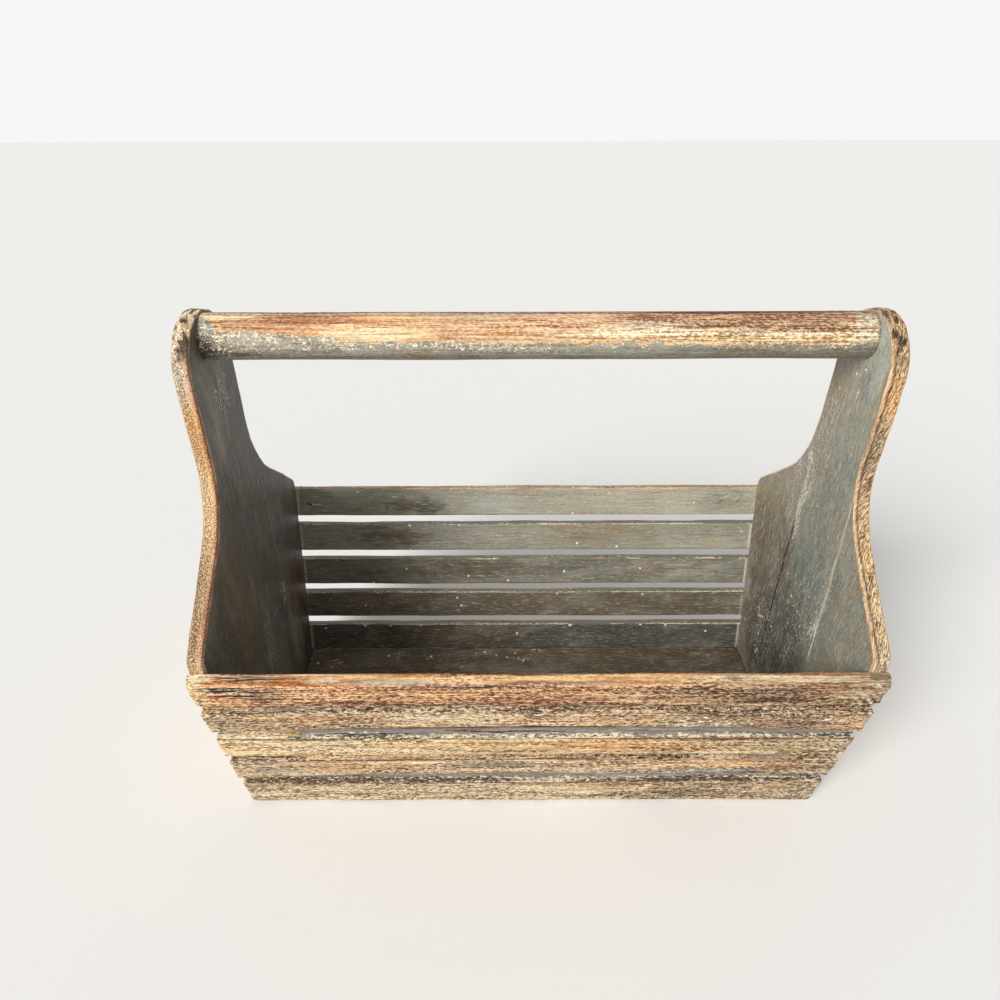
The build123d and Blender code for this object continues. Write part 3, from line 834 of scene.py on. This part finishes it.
backCommon = {
    "alongStep": 2.4, "acrossStep": 0.8, "faceCover": 0.2, "topCover": 0.85, "topPaint": "olive",
    "insideCover": 0.95, "looseSplits": 7, "arrisFlecks": 0.8, "paint": "paleOlive", "arrisRound": 1,
    "arrisWear": 0.5, "endArris": 0.8, "innerLine": ("lichen", 0.7), "cornerLine": 1,
}
# The inside coats darken from the top slat down (olive on slats 3 and 4, an umberOlive coat over all of
# slat 4, paintedShadeOlive on slat 5): painted shade towards the bottom of the basket. The sootAndShade
# spots on slats 1 and 4 are painted shade where the left board's shadow falls
backSlats = [
    {
        "seed": 601, "innerLine": ("straw", 0.9), "topCover": 0.4,
        "insidePaints": (
            (120, -12, 150, 30, "ash"), (-90, -19, 14, 8, "sootAndShade"), (-112, -17, 10, 7, "umberOlive"),
            (-32, -17, 24, 9, "mint"), (10, -6, 34, 6, "clay"), (180, -14, 22, 10, "paleOlive"),
        ),
        "drops": (
            (42, -24, 1.1), (150, -14, 1), (-190, -15, 1), (74, -5, 0.7), (-150, -3, 1), (-118, -8, 0.8),
        ),
        "marks": (
            (170, -17, 179, -7, 0.8, "darkPit", 0.95), (172, -12, 184, -5, 0.6, "chalk", 0.7),
            (186, -16, 193, -9, 0.6, "umber", 0.8), (-199, -13, -188, -17, 0.9, "darkPit", 0.95),
            (-190, -15, -180, -16, 0.6, "chalk", 0.6), (-120, -6.4, 60, -6, 0.4, "umberOlive", 0.4),
        ),
    },
    {
        "seed": 701,
        "insidePaints": (
            (-120, -12, 24, 9, "umberOlive"), (60, -8, 50, 8, "brownOlive"), (150, -20, 40, 7, "clay"),
        ),
        "drops": (
            (47, -19, 1.2), (83, -22, 1.2), (-105, -1, 1.3), (-60, -1, 1.1), (196, -8, 0.9),
            (-105, -24, 0.9),
        ),
        "marks": (
            (-106, -20, -102, -12, 0.6, "darkPit", 0.7), (-130, -19, 60, -20, 0.4, "umberOlive", 0.4),
        ),
    },
    {
        "seed": 809, "paint": "olive",
        "insidePaints": (
            (108, -8, 12, 5, "driftwood"), (150, -14, 24, 9, "paleOlive"), (-60, -14, 70, 9, "umberOlive"),
        ),
        "drops": (
            (-141, -24, 1.1), (-53, -17.6, 1.2), (-16, -22, 1.1), (36, -13, 1.2), (106, -10, 0.9),
            (-110, -10, 0.9),
        ),
    },
    {
        "seed": 907, "paint": "olive",
        "insidePaints": (
            (0, -12, 230, 30, "umberOlive"), (-145, -8, 30, 9, "greyBrown"), (-190, -12, 14, 20, "sootAndShade"),
        ),
        "drops": (
            (-138, -1, 1.1), (-64, -6, 1.2), (-60, -14, 1.3), (-150, -14, 1.1), (30, -2, 0.9), (110, -3, 1),
        ),
    },
    {
        "seed": 1009, "paint": "paintedShadeOlive", "insidePaints": ((-60, -12, 60, 9, "umberOlive"),),
        "drops": (
            (-189.6, -4, 1.4), (-7.3, -10, 1.4), (173, -8, 1.2), (-152, -1, 1.8), (-128, -1, 1.5),
            (-99, -1, 1.4), (43, -1, 1.8), (110, -1, 1.3), (134, -1, 1.2),
        ),
    },
]

for number, own in enumerate(frontSlats):
    slat("front", number, own)
print("front slats made")
for number, own in enumerate(backSlats):
    slat("back", number, {**backCommon, **own})
print("back slats made")


# End boards
def boardHalfWidth(z):
    angle = math.radians(basket["shoulderAngle"])
    rimHalf = basket["rimHalfWidth"]
    cornerZ = basket["rimHeight"] + basket["shoulderRise"]
    cornerRound = basket["shoulderRound"]
    cornerStart = cornerZ - cornerRound * math.tan((math.pi / 2 - angle) / 2)
    cornerEnd = cornerStart + cornerRound * math.cos(angle)
    neckRound, neckHalf = basket["neckRound"], basket["neckHalfWidth"]
    curveCentre = neckHalf + neckRound
    curveStartY = curveCentre - neckRound * math.sin(angle)
    curveStart = cornerZ + (rimHalf - curveStartY) * math.tan(angle)
    curveEnd = curveStart + neckRound * math.cos(angle)
    headCentre = curveEnd + basket["neckLength"]
    skirt = baseHalfWidth + z * math.tan(lean)
    corner = rimHalf - cornerRound + np.sqrt(np.clip(cornerRound**2 - (z - cornerStart) ** 2, 0, None))
    shoulder = rimHalf - (z - cornerZ) / math.tan(angle)
    curve = curveCentre - np.sqrt(np.clip(neckRound**2 - (z - curveEnd) ** 2, 0, None))
    head = np.sqrt(np.clip(neckHalf**2 - (z - headCentre) ** 2, tiny, None))
    limits = [basket["rimHeight"], cornerStart, cornerEnd, curveStart, curveEnd, headCentre]
    widths = [skirt, rimHalf + 0 * z, corner, shoulder, curve, neckHalf + 0 * z]
    return np.select([z <= limit for limit in limits], widths, head)


# Board spots are (height, place across, half height, half width)
boardLook = {
    "step": 1.15, "acrossCount": 124, "thicknessCount": 20, "apexRows": 30, "apexGap": 0.12,
    "arrisRound": 1, "arrisWear": 0.9, "headWear": 0.4, "headLean": 0, "arrisBare": 0.35,
    "relief": ((0.16, (90, 3, 3), 1), (0.22, (60, 18, 18), 2), (0.06, (12, 1.6, 1.6), 3)),
    "edgeRelief": ((0.3, (9, 9, 4), 5),), "mottleSize": (34, 20, 5), "wearSize": (22, 60, 1),
    "headHollows": (0.8, (5, 5, 5), 0.1, 6), "coverClouds": (0.12, (60, 16, 16), 7),
    "chipClouds": (0.08, (20, 12, 5), 9), "dirtClouds": (0.08, (26, 12, 5), 10),
    "dustClouds": (0.1, (60, 60, 60), 12), "markSize": (9, 9, 9), "patchSize": (26, 17, 5),
    "lumpSize": (5.5, 2.6, 1), "wood": "straw", "rodHeight": 342.8, "rodMarkAt": 16.4, "screwRadius": 4,
}
boards = {
    "left": {
        # The left board's inner face takes the darker paintedShadeOlive coat with sootAndShade clouds:
        # painted shade, as the face is turned from the light. The dark ring round the rod's end and the
        # patch below the rod are painted shade too
        "side": -1, "paint": "paintedShadeOlive", "warmTint": "umberOlive", "coolTint": "sootAndShade",
        "headShade": "slate", "headDeep": "darkPit", "headPale": "chalk", "rodMark": ("sootAndShade", 0.4),
        "rimLines": ((2.8, 1.3, "orange", 0.35), (0.5, 1.1, "redBrown", 1), (10.4, 0.8, "redBrown", 0.6)),
        "arrisBare": 0.1,
        "strokes": {
            "long": 3, "wide": 3, "slant": 0, "steep": 0.6, "steepAt": 345, "steepReach": 14, "depth": 0.2,
            "shade": 0.06,
        },
        "edgeShade": ("tan", 0.75), "edgeDirt": 0.62, "edgeChips": 0.3,
        "edgeStains": (
            (326, 16, "dust", 0.8), (294, 22, "honey", 0.5), (262, 14, "straw", 0.5),
            (236, 12, "sand", 0.6), (206, 12, "driftwood", 0.7), (180, 14, "driftwood", 0.5),
        ),
        "seed": 1201,
        "paints": (
            (306, -1, 9, 6, "sootAndShade", 0), (300, -12, 16, 9, "olive", 0), (278, -16, 14, 6, "greyBrown", 0.1),
            (315, 8, 12, 6, "greyBrown", 0), (98, -12, 46, 14, "olive", 0), (62, 8, 26, 12, "olive", 0),
            (60, 40, 40, 8, "olive", 0), (60, 70, 40, 16, "umber", 0), (100, 62, 22, 6, "redBrown", 0),
            (180, -50, 80, 26, "umberOlive", 0),
        ),
        "dustSpots": (
            (110, 34, 14, 5), (112, 12, 10, 5), (100, -14, 26, 9), (300, 4, 16, 10), (60, -60, 10, 8),
        ),
    },
    "right": {
        "side": 1, "paint": "paleOlive", "warmTint": "brownOlive", "coolTint": "coolOlive",
        "headShade": "driftwood", "headDeep": "umber", "headPale": "tan", "rodMark": ("mint", 0.8),
        "rimLines": ((0.2, 0.8, "peach", 0.7), (2.2, 0.8, "umber", 0.9), (10.3, 0.9, "orange", 0.6)),
        "headLean": 2,
        "strokes": {
            "long": 6, "wide": 1, "slant": 0.25, "steep": 0.7, "steepAt": 240, "steepReach": 24,
            "depth": 0.3, "shade": 0.2,
        },
        "edgeShade": ("driftwood", 0.75), "edgeDirt": 0.5, "edgeChips": 0.4,
        "edgeStains": (
            (344, 8, "umber", 0.7), (314, 20, "honey", 0.75), (284, 14, "driftwood", 0.8),
            (260, 14, "brown", 0.65), (222, 22, "straw", 0.75), (192, 16, "sand", 0.5),
            (172, 9, "dust", 0.6),
        ),
        "seed": 1301,
        # The paintedShadeOlive and sootAndShade patches low on the inner face darken the board towards the
        # bottom: painted shade, where the left board and front wall shade it
        "paints": (
            (110, 66, 80, 34, "umberOlive", 0), (200, 75, 46, 30, "brownOlive", 0),
            (270, 22, 60, 12, "brownOlive", 0), (170, -10, 60, 34, "coolOlive", 0),
            (60, 10, 44, 60, "paintedShadeOlive", 0), (62, 14, 40, 34, "sootAndShade", 0), (118, -6, 26, 18, "sootAndShade", 0),
            (112, 26, 60, 8, "umberOlive", 0), (100, 8, 40, 30, "paintedShadeOlive", 0),
            (344, -18, 14, 12, "mint", 0.2), (326, -24, 12, 6, "mint", 0.2),
            (150, -22, 22, 9, "coolOlive", 0),
        ),
        "dustSpots": (
            (160, -40, 26, 7), (60, 38, 26, 16), (120, -18, 30, 20), (210, 40, 30, 20), (250, 20, 50, 14),
        ),
    },
}


def endBoard(side, own):
    look = {**boardLook, **own}
    name = f"end_board_{side}"
    seed = look["seed"]
    depth = basket["boardThickness"]
    neckHalf = basket["neckHalfWidth"]
    outwards = look["side"]
    lowCorner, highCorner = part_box(name)
    apex = highCorner.z / mm
    headCentre = apex - neckHalf
    lastAngle = math.acos(1 - look["apexGap"] / neckHalf)
    angles = np.linspace(0, math.pi / 2 - lastAngle, look["apexRows"])
    up = np.append(spaced(0, headCentre, look["step"])[:-1], headCentre + neckHalf * np.sin(angles))
    # Finer columns near the edges, as shares of the half width
    sweep = np.linspace(-math.pi / 2, math.pi / 2, look["acrossCount"])
    share = 0.45 * np.sin(sweep) + 0.55 * sweep / (math.pi / 2)
    places, quads = gridBox(np.linspace(0, depth, look["thicknessCount"]), share, up)
    t, share, z = places.T
    half = boardHalfWidth(z)
    y = share * half

    # Places along the sawn edge, where the saw's strokes slant and steepen
    strokes = look["strokes"]
    arc = np.append(0, np.cumsum(np.hypot(np.diff(up), np.diff(boardHalfWidth(up)))))
    steep = near(up, strokes["steepAt"], strokes["steepReach"])
    drift = np.append(0, np.cumsum(np.diff(arc) * (strokes["slant"] + strokes["steep"] * steep[1:])))
    steep = np.interp(z, up, steep)
    sideways = np.where(share < 0, -1, 1)
    edgeGrain = np.stack([np.interp(z, up, arc), t + np.interp(z, up, drift), 90.0 * sideways], 1)
    tilt = (boardHalfWidth(z + 0.05) - boardHalfWidth(z - 0.05)) / 0.1
    tilt = np.clip(np.where(z > apex - 0.3, -8, tilt), -8, 8)
    slope = np.hypot(1, tilt)

    # Worn arrises: past the wall's edge along the outline, and through the thickness
    flat = np.stack([z, y, np.zeros_like(z)], 1)
    wear = layeredNoise(flat, look["wearSize"], seed)
    onHead = ease(z, headCentre - 30, headCentre + 10)
    radius = look["arrisRound"] + look["arrisWear"] * np.clip(wear + 0.2, 0, 1)
    radius += look["headWear"] * onHead
    fromEdge = (half - np.abs(y)) / slope
    fromInner = depth - t
    pastEdge = np.clip(radius - fromEdge, 0, None) / radius
    pastFace = np.clip(radius - np.minimum(t, fromInner), 0, None) / radius
    pull = (1 - 1 / np.maximum(np.hypot(pastEdge, pastFace), 1)) * radius
    y = y - sideways * pastEdge * pull / slope
    z = z + pastEdge * pull * tilt / slope
    t = t + np.where(t < depth / 2, 1, -1) * pastFace * pull
    y = y - look["headLean"] * ease(z, 235, 325)
    outerX = (lowCorner.x if outwards < 0 else highCorner.x) / mm
    places = np.stack([outerX - outwards * t, y, z], 1)
    if outwards > 0:
        quads = quads[:, ::-1]
    facing = outward(places, quads)
    inner, outer = faces(facing, 0, -outwards), faces(facing, 0, outwards)
    edge = np.clip(1 - inner - outer, 0, 1)

    flat = np.stack([z, y, places[:, 0]], 1)
    cuts = softNoise(edgeGrain, (strokes["long"], strokes["wide"], 1), seed + 4)
    height = relief(flat, look["relief"], seed)
    height += edge * (strokes["depth"] * (0.5 + steep) * cuts + relief(flat, look["edgeRelief"], seed))
    height -= onHead * edge * hollows(flat, look["headHollows"], seed)

    # The sawn edges: bands of stain, strokes, dark and pale lumps round the crown
    finish = Finish(len(places), look)
    stain, tint = finish.stain, finish.tint
    finish.cover = 0.92 * inner + 0.35 * outer + edge * (0.1 + 0.25 * onHead)
    finish.cover += clouds(flat, look["coverClouds"], seed)
    tint(outer, "olive")
    tint(onHead * edge, "slate")
    mottled = layeredNoise(flat, look["mottleSize"], seed + 8)
    stain(ease(mottled, 0.0, 0.8) * 0.6, "honey")
    stain(ease(-mottled, 0.1, 0.9) * 0.6, "cream")
    shade, strength = look["edgeShade"]
    stain(edge * strength, shade)
    for spotZ, reachZ, shade, strength in look["edgeStains"]:
        stain(near(z + 4 * mottled, spotZ, reachZ) * edge * strength, shade)
    stain(onHead * edge * ease(z, headCentre + 4, headCentre + 20) * 0.8, look["headShade"])
    stain(edge * ease(-cuts, 0.1, 0.45) * (strokes["shade"] + 0.5 * steep), "brown")
    stain(edge * ease(cuts, 0.15, 0.5) * (strokes["shade"] + 0.6 * steep), "cream")
    onRim = near(fromEdge, 0, 1.6) * ease(wear, -1.6, -0.6)
    plain = np.zeros(len(places))
    for away, width, shade, strength in look["rimLines"]:
        line = near(fromInner, away, width) * onRim
        stain(line * strength, shade)
        finish.cover -= line * strength
        plain = np.maximum(plain, line)
    lumps = softNoise(edgeGrain, look["lumpSize"], seed + 14)
    crown = ease(z, headCentre + 10, headCentre + 20) * edge
    stain(ease(lumps, 0.1, 0.3) * 0.9 * crown, look["headDeep"])
    stain(ease(-lumps, -0.1, 0.1) * 0.9 * crown, look["headPale"])
    finish.cover -= np.abs(lumps) * crown
    finish.chips = look["edgeChips"] * edge + 0.3 * outer
    finish.chips += clouds(flat, look["chipClouds"], seed)
    finish.chips = finish.chips * (1 - inner) - plain * 0.5
    finish.dirt = look["edgeDirt"] * edge + 0.35 * outer + 0.1
    finish.dirt += clouds(flat, look["dirtClouds"], seed) - plain * 0.5

    # The painted inside: warm and cool clouds, bare arrises, dust, and a mark round the rod's end
    patchy = layeredNoise(flat, look["patchSize"], seed + 18)
    tint(ease(patchy, 0.1, 0.9) * 0.55 * inner, look["warmTint"])
    tint(ease(-patchy, 0.1, 0.9) * 0.55 * inner, look["coolTint"])
    finish.cover -= near(fromEdge, 0, 3.5) * inner * look["arrisBare"] * ease(wear, -0.3, 0.6)
    finish.dusting = 0.05 + clouds(flat, look["dustClouds"], seed)
    for spot in look["dustSpots"]:
        finish.dusting += 0.42 * patch(z, y, spot, 0.6, seed + 16)
    finish.paintSpots(z, y, look["paints"], seed + 23, inner * 0.9, 1.4)
    shade, strength = look["rodMark"]
    fromRod = np.hypot(y, z - look["rodHeight"])
    kept = ease(layeredNoise(flat, look["markSize"], seed + 15), -0.7, 0.3)
    mark = near(fromRod, look["rodMarkAt"], 1.7) * kept
    tint(mark * strength * inner, shade)

    # The screw's head shows in the outer face, with a rust stain round it
    height -= outer * 0.7 * ease(look["screwRadius"] + 0.8 - fromRod, 0, 0.6)
    stain(outer * np.exp(-((fromRod / (look["screwRadius"] + 2)) ** 4)) * 0.8, "redBrown")
    places = places + facing * height[:, None]
    grain = np.stack([z, y, places[:, 0]], 1)
    fields = {**finish.fields(grain), "edgeGrain": edgeGrain}
    piece = makeMesh(name + "_wood", places, quads, fields)
    piece.data.materials.append(outsideWood)
    refinish(piece, quads, inner, boardWoods[side])
    refinish(piece, quads, edge, edgeWoods[side])
    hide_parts(name)
    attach(piece, "root")


for side, own in boards.items():
    endBoard(side, own)
print("end boards made")

# The rod. Its spots are (along from the middle, degrees back from the front, half length, half width)
rodLook = {
    "alongStep": 1.5, "rows": 27, "seed": 1401,
    "relief": ((0.14, (60, 2.2, 2.2), 0), (0.25, (70, 12, 12), 1), (0.07, (10, 0.9, 0.9), 2)),
    "cloudSize": (22, 9, 9), "mottleSize": (80, 4, 4),
    "borderClouds": ((4, (60, 200, 200), 3), (6, (9, 7, 7), 4)), "endClouds": (1, (9, 6, 6), 9),
    "coverClouds": (0.08, (30, 6, 6), 5), "chipClouds": (0.2, (40, 6, 6), 6),
    "dirtClouds": (0.12, (50, 5, 5), 7), "wood": "peach", "paint": "rodGrey",
    "borderShares": (-1.0, -0.94, -0.64, -0.54, -0.2, 0.0, 1.0),  # along the rod, for the border's degrees
    "borderAngles": (75, 26, 19, 4, 4, -1, -4), "crackleWidths": (95, 46, 42, 20, 22, 12, 5),
    "dirtShares": (-1, -0.9, -0.35, -0.2, 0.1, 0.35, 1),
    "dirtLevels": (0.55, 0.42, 0.34, 0.4, 0.45, 0.6, 0.6), "borderFlecks": 0.25, "endPaint": 1.2,
    "paints": (
        (-200, 0, 12, 46, "sootAndShade", 0.9), (-188, -28, 20, 14, "sootAndShade", 0.8),
        (-150, -50, 50, 18, "greyBrown", 0.6), (60, -34, 60, 16, "mint", 0.25),
        (150, -30, 50, 20, "brownOlive", 0.6),
    ),
    "stains": (
        (-165, 58, 55, 18, "rust", 0.35), (-100, 25, 36, 20, "butter", 0.9),
        (-106, 22, 24, 11, "chalk", 0.7), (-100, 58, 60, 12, "orange", 0.45),
        (-190, 74, 22, 14, "cream", 0.7), (-176, 84, 28, 8, "driftwood", 0.8),
        (-45, 84, 44, 8, "driftwood", 0.7), (30, 50, 90, 34, "peach", 0.5), (-20, 30, 12, 10, "honey", 0.8),
        (-40, 98, 190, 13, "umber", 0.6), (75, 48, 26, 14, "clay", 0.8), (58, 26, 24, 12, "cream", 0.8),
        (-140, 62, 30, 14, "rust", 0.4), (-150, 30, 40, 10, "orange", 0.5), (140, 66, 80, 24, "rust", 0.75),
        (130, 90, 95, 12, "umber", 0.85), (150, 52, 60, 30, "brown", 0.5), (110, 20, 110, 6, "chalk", 0.8),
        (120, 9, 90, 4, "corn", 0.95), (196, 40, 9, 44, "dust", 0.7),
    ),
}


def rod():
    look = rodLook
    seed = look["seed"]
    radius = basket["rodRadius"]
    lowCorner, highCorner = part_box("handle")
    reach = highCorner.x / mm
    axisZ = (lowCorner.z + highCorner.z) / 2 / mm
    fan = np.tan(np.linspace(-math.pi / 4, math.pi / 4, look["rows"]))
    places, quads = gridBox(spaced(-reach, reach, look["alongStep"]), fan, fan)
    x, y, z = places.T
    scale = radius * np.maximum(np.abs(y), np.abs(z)) / np.maximum(np.hypot(y, z), tiny)
    places = np.stack([x, y * scale, z * scale], 1)
    angle = np.degrees(np.arctan2(z * scale, -y * scale))  # 0 at the front, 90 at the top
    share = x / reach
    facing = outward(places, quads)
    side = 1 - facing[:, 0] ** 2
    height = relief(places, look["relief"], seed)

    # The lower half keeps its paint, with a wavy chipped border
    border = np.interp(share, look["borderShares"], look["borderAngles"])
    for layer in look["borderClouds"]:
        border += clouds(places, layer, seed)
    crackleWidth = np.interp(share, look["borderShares"], look["crackleWidths"])
    painted = ease(border - angle, -14, 14) * (angle > -150)
    crackle = ease(border - angle, -8, 2) * ease(angle - border + crackleWidth, -8, 8)
    finish = Finish(len(places), look)
    stain, tint = finish.stain, finish.tint
    rim = x - reach + look["endPaint"] * (1 + clouds(places, look["endClouds"], seed))
    rim = ease(rim, -1, 1)
    finish.cover = 0.06 + 0.86 * painted + clouds(places, look["coverClouds"], seed) + rim
    tint(rim * 0.4, "mint")
    tint(ease(x, 40, 160) * 0.6 * painted, "olive")
    tint(ease(layeredNoise(places, look["cloudSize"], seed + 10), 0.1, 0.8) * 0.6, "olive")
    tint(ease(layeredNoise(places, look["cloudSize"], seed + 11), 0.3, 0.9) * 0.6, "driftwood")
    for order, (*spot, shade, strength) in enumerate(look["paints"]):
        tint(patch(x, angle, spot, 0.5, seed + 43 + order, 1.2) * strength, shade)
    finish.chips = 0.1 + 0.5 * crackle + 0.1 * painted
    finish.chips += look["borderFlecks"] * near(angle, border - 7, 9) * ease(-x, -120, 60)
    finish.chips += clouds(places, look["chipClouds"], seed)
    finish.dirt = np.interp(share, look["dirtShares"], look["dirtLevels"])
    finish.dirt += clouds(places, look["dirtClouds"], seed)
    finish.dirt += 0.25 * ease(angle, 78, 100) * ease(190 - angle, 0, 40)
    finish.dirt = finish.dirt * (1 - painted) + 0.3 * painted
    finish.dusting += 0.1
    mottled = layeredNoise(places, look["mottleSize"], seed + 8)
    stain(ease(mottled, 0.2, 0.9) * 0.5, "salmon")
    stain(ease(-mottled, 0.2, 0.9) * 0.6, "straw")
    finish.stainSpots(x, angle, look["stains"], 0.4, seed + 23, side)
    places = places + facing * (height * side)[:, None]
    grain = places + np.array([seed * 37.0 % 900, 0, 0])
    places = places + np.array([0, 0, axisZ])
    piece = makeMesh("handle_wood", places, quads, finish.fields(grain))
    piece.data.materials.append(rodWood)
    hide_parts("handle")
    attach(piece, "root")


rod()
print("rod made")

# The floor
floorLook = {
    "alongStep": 2.6, "acrossStep": 1.8, "depthCount": 5,
    "relief": ((0.12, (90, 4, 4), 0), (0.2, (120, 30, 30), 1)), "sunk": 0.15,
    "coverClouds": (0.14, (70, 14, 14), 2), "dirtClouds": (0.2, (60, 12, 12), 3), "seed": 1501,
    # The dark umberOlive coat is partly the floor's own paint and partly painted shade at the bottom of the
    # basket
    "wood": "tan", "paint": "umberOlive",
    "dustSpots": (
        (-90, 64, 8, 3), (-119, 66, 8, 4), (-174, 57, 8, 5), (11, 72, 9, 4), (-2, 61, 8, 3),
        (167, 65, 7, 4),
    ),
    "marks": ((-196, 74.8, -60, 74.6, 0.5, "dust", 0.6), (20, 74.8, 190, 74.6, 0.5, "dust", 0.5)),
    "drops": (
        (-194.6, 55.3, 1.2), (-180.4, 50.9, 0.9), (-129.4, 64.8, 1.3), (-88.9, 63.5, 1.2), (-92.4, 61, 0.8),
        (-59.2, 50.4, 0.7), (-46.3, 67.8, 0.8), (-38.3, 69.9, 1.1), (-27.2, 65.1, 0.9), (-16.8, 62.8, 1),
        (-8.9, 68.1, 1.1), (-2, 57.8, 0.8),
    ),
}


def floorBoard():
    look = floorLook
    seed = look["seed"]
    depth = basket["floorThickness"]
    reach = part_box("floor_board")[1].x / mm
    count = round(2 * baseHalfWidth / look["acrossStep"])
    along = spaced(-reach, reach, look["alongStep"])
    places, quads = gridBox(along, np.linspace(-1, 1, count), np.linspace(0, depth, look["depthCount"]))
    x, share, z = places.T
    y = share * (baseHalfWidth + z * math.tan(lean))
    places = np.stack([x, y, z], 1)
    facing = outward(places, quads)
    height = (relief(places, look["relief"], seed) - look["sunk"]) * faces(facing, 2, 1)
    finish = Finish(len(places), look)
    finish.cover = 0.85 + clouds(places, look["coverClouds"], seed)
    finish.chips += 0.1
    finish.dirt = 0.22 + clouds(places, look["dirtClouds"], seed)
    finish.dusting += 0.05
    for spot in look["dustSpots"]:
        finish.dusting += 0.5 * patch(x, y, spot, 0.6, seed + 4)
    places = places + facing * height[:, None]
    origin = (seed * 37.0 % 900, 0, 0)
    piece = makeMesh("floor_board_wood", places, quads, finish.fields(places + np.array(origin)))
    wood = {**insideLook, "pitShade": "pitch", "origin": origin}
    wood = {**wood, "marks": look["marks"], "drops": look["drops"]}
    piece.data.materials.append(wornWood("wornFloorWood", wood))
    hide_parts("floor_board")
    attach(piece, "root")


floorBoard()
print("floor made")


# Fasteners keep their own shape
steelLook = {"size": 0.0006, "rough": 0.55, "bumpDepth": 0.00008}


def agedSteel(name, clean, rusted):
    look = steelLook
    material = bpy.data.materials.new(name)
    nodes = Nodes(material)
    where = nodes.add("TexCoord", {}).outputs["Object"]
    inputs = {"Vector": where, "Scale": 1 / look["size"], "Detail": 5.0, "Roughness": 0.65}
    rust = nodes.add("TexNoise", inputs).outputs[0]
    mask = nodes.ramp(rust, 0.45, 0.6)
    inputs = {"Height": rust, "Strength": 0.5, "Distance": look["bumpDepth"]}
    nodes.fill(nodes.tree.nodes["Principled BSDF"], {
        "Base Color": nodes.mix(mask, shadeValue(clean), shadeValue(rusted)),
        "Roughness": nodes.ramp(mask, 0.0, 1.0, look["rough"], 0.9),
        "Metallic": nodes.ramp(mask, 0.0, 1.0, 0.9, 0.1),
        "Normal": nodes.add("Bump", inputs).outputs[0],
    })
    return material


agedBrad = agedSteel("agedBradSteel", "slate", "rust")
agedScrew = agedSteel("agedScrewSteel", "slate", "redBrown")
for node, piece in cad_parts.items():
    if "brads" in node or "screw" in node:
        metal = agedScrew if "screw" in node else agedBrad
        piece.data.materials.clear()
        piece.data.materials.append(metal)
print("fasteners finished")

# Studio: a pale floor, a broad soft light from the front left, and an even sky
studio = {
    "floorHalf": 6, "floorShade": "studioPale", "skyLevel": 0.42, "backdropLevel": 0.93,
    "lightAzimuth": 40.0,  # degrees to the left of the front
    "lightElevation": 34, "lightSpread": 28, "lightLevel": 3.3,
}


def makeStudio():
    half = studio["floorHalf"]
    corners = [(-half, -half, 0), (half, -half, 0), (half, half, 0), (-half, half, 0)]
    mesh = bpy.data.meshes.new("studioFloor")
    mesh.from_pydata(corners, [], [(0, 1, 2, 3)])
    ground = addObject("studioFloor", mesh)
    material = bpy.data.materials.new("paleFloor")
    nodes = Nodes(material)
    inputs = {"Base Color": shadeValue(studio["floorShade"]), "Roughness": 0.9}
    nodes.fill(nodes.tree.nodes["Principled BSDF"], inputs)
    mesh.materials.append(material)

    # The sky is paler where it is seen than where it lights
    world = bpy.data.worlds.new("studioSky")
    nodes = Nodes(world)
    nodes.tree.nodes.clear()
    ray = nodes.add("LightPath", {}).outputs
    seen = nodes.calc("MAXIMUM", ray["Is Camera Ray"], ray["Is Glossy Ray"])
    seen = nodes.calc("MAXIMUM", seen, ray["Is Transmission Ray"])
    levels = (studio["skyLevel"], studio["backdropLevel"])
    sky, backdrop = (
        nodes.add("Background", {"Color": (1, 1, 1, 1), "Strength": level}).outputs[0] for level in levels
    )
    mixed = nodes.add("MixShader", {0: seen, 1: sky, 2: backdrop})
    nodes.add("OutputWorld", {0: mixed.outputs[0]})
    bpy.context.scene.world = world

    light = bpy.data.lights.new("softLight", "SUN")
    light.energy = studio["lightLevel"]
    light.angle = math.radians(studio["lightSpread"])
    lamp = addObject("softLight", light)
    lamp.matrix_world = turn(-studio["lightAzimuth"], "Z") @ turn(90 - studio["lightElevation"], "X")


makeStudio()

# The camera stands where the photograph's did
viewpoint = {
    "lens": 24.838, "sensor": 36, "place": (-23.783, -415.298, 480.717),
    "pitch": 31.764,  # degrees below level
    "roll": 0.130, "yaw": -0.053,
}


def makeCamera():
    data = bpy.data.cameras.new("viewCamera")
    data.lens = viewpoint["lens"]
    data.sensor_width = viewpoint["sensor"]
    data.clip_start = 0.01
    camera = addObject("viewCamera", data)
    aim = turn(viewpoint["yaw"], "Z") @ turn(90 - viewpoint["pitch"], "X") @ turn(-viewpoint["roll"], "Z")
    camera.matrix_world = Matrix.Translation(Vector(viewpoint["place"]) * mm) @ aim
    bpy.context.scene.camera = camera


makeCamera()
bpy.context.scene.view_settings.view_transform = "Standard"
print("studio and camera made")
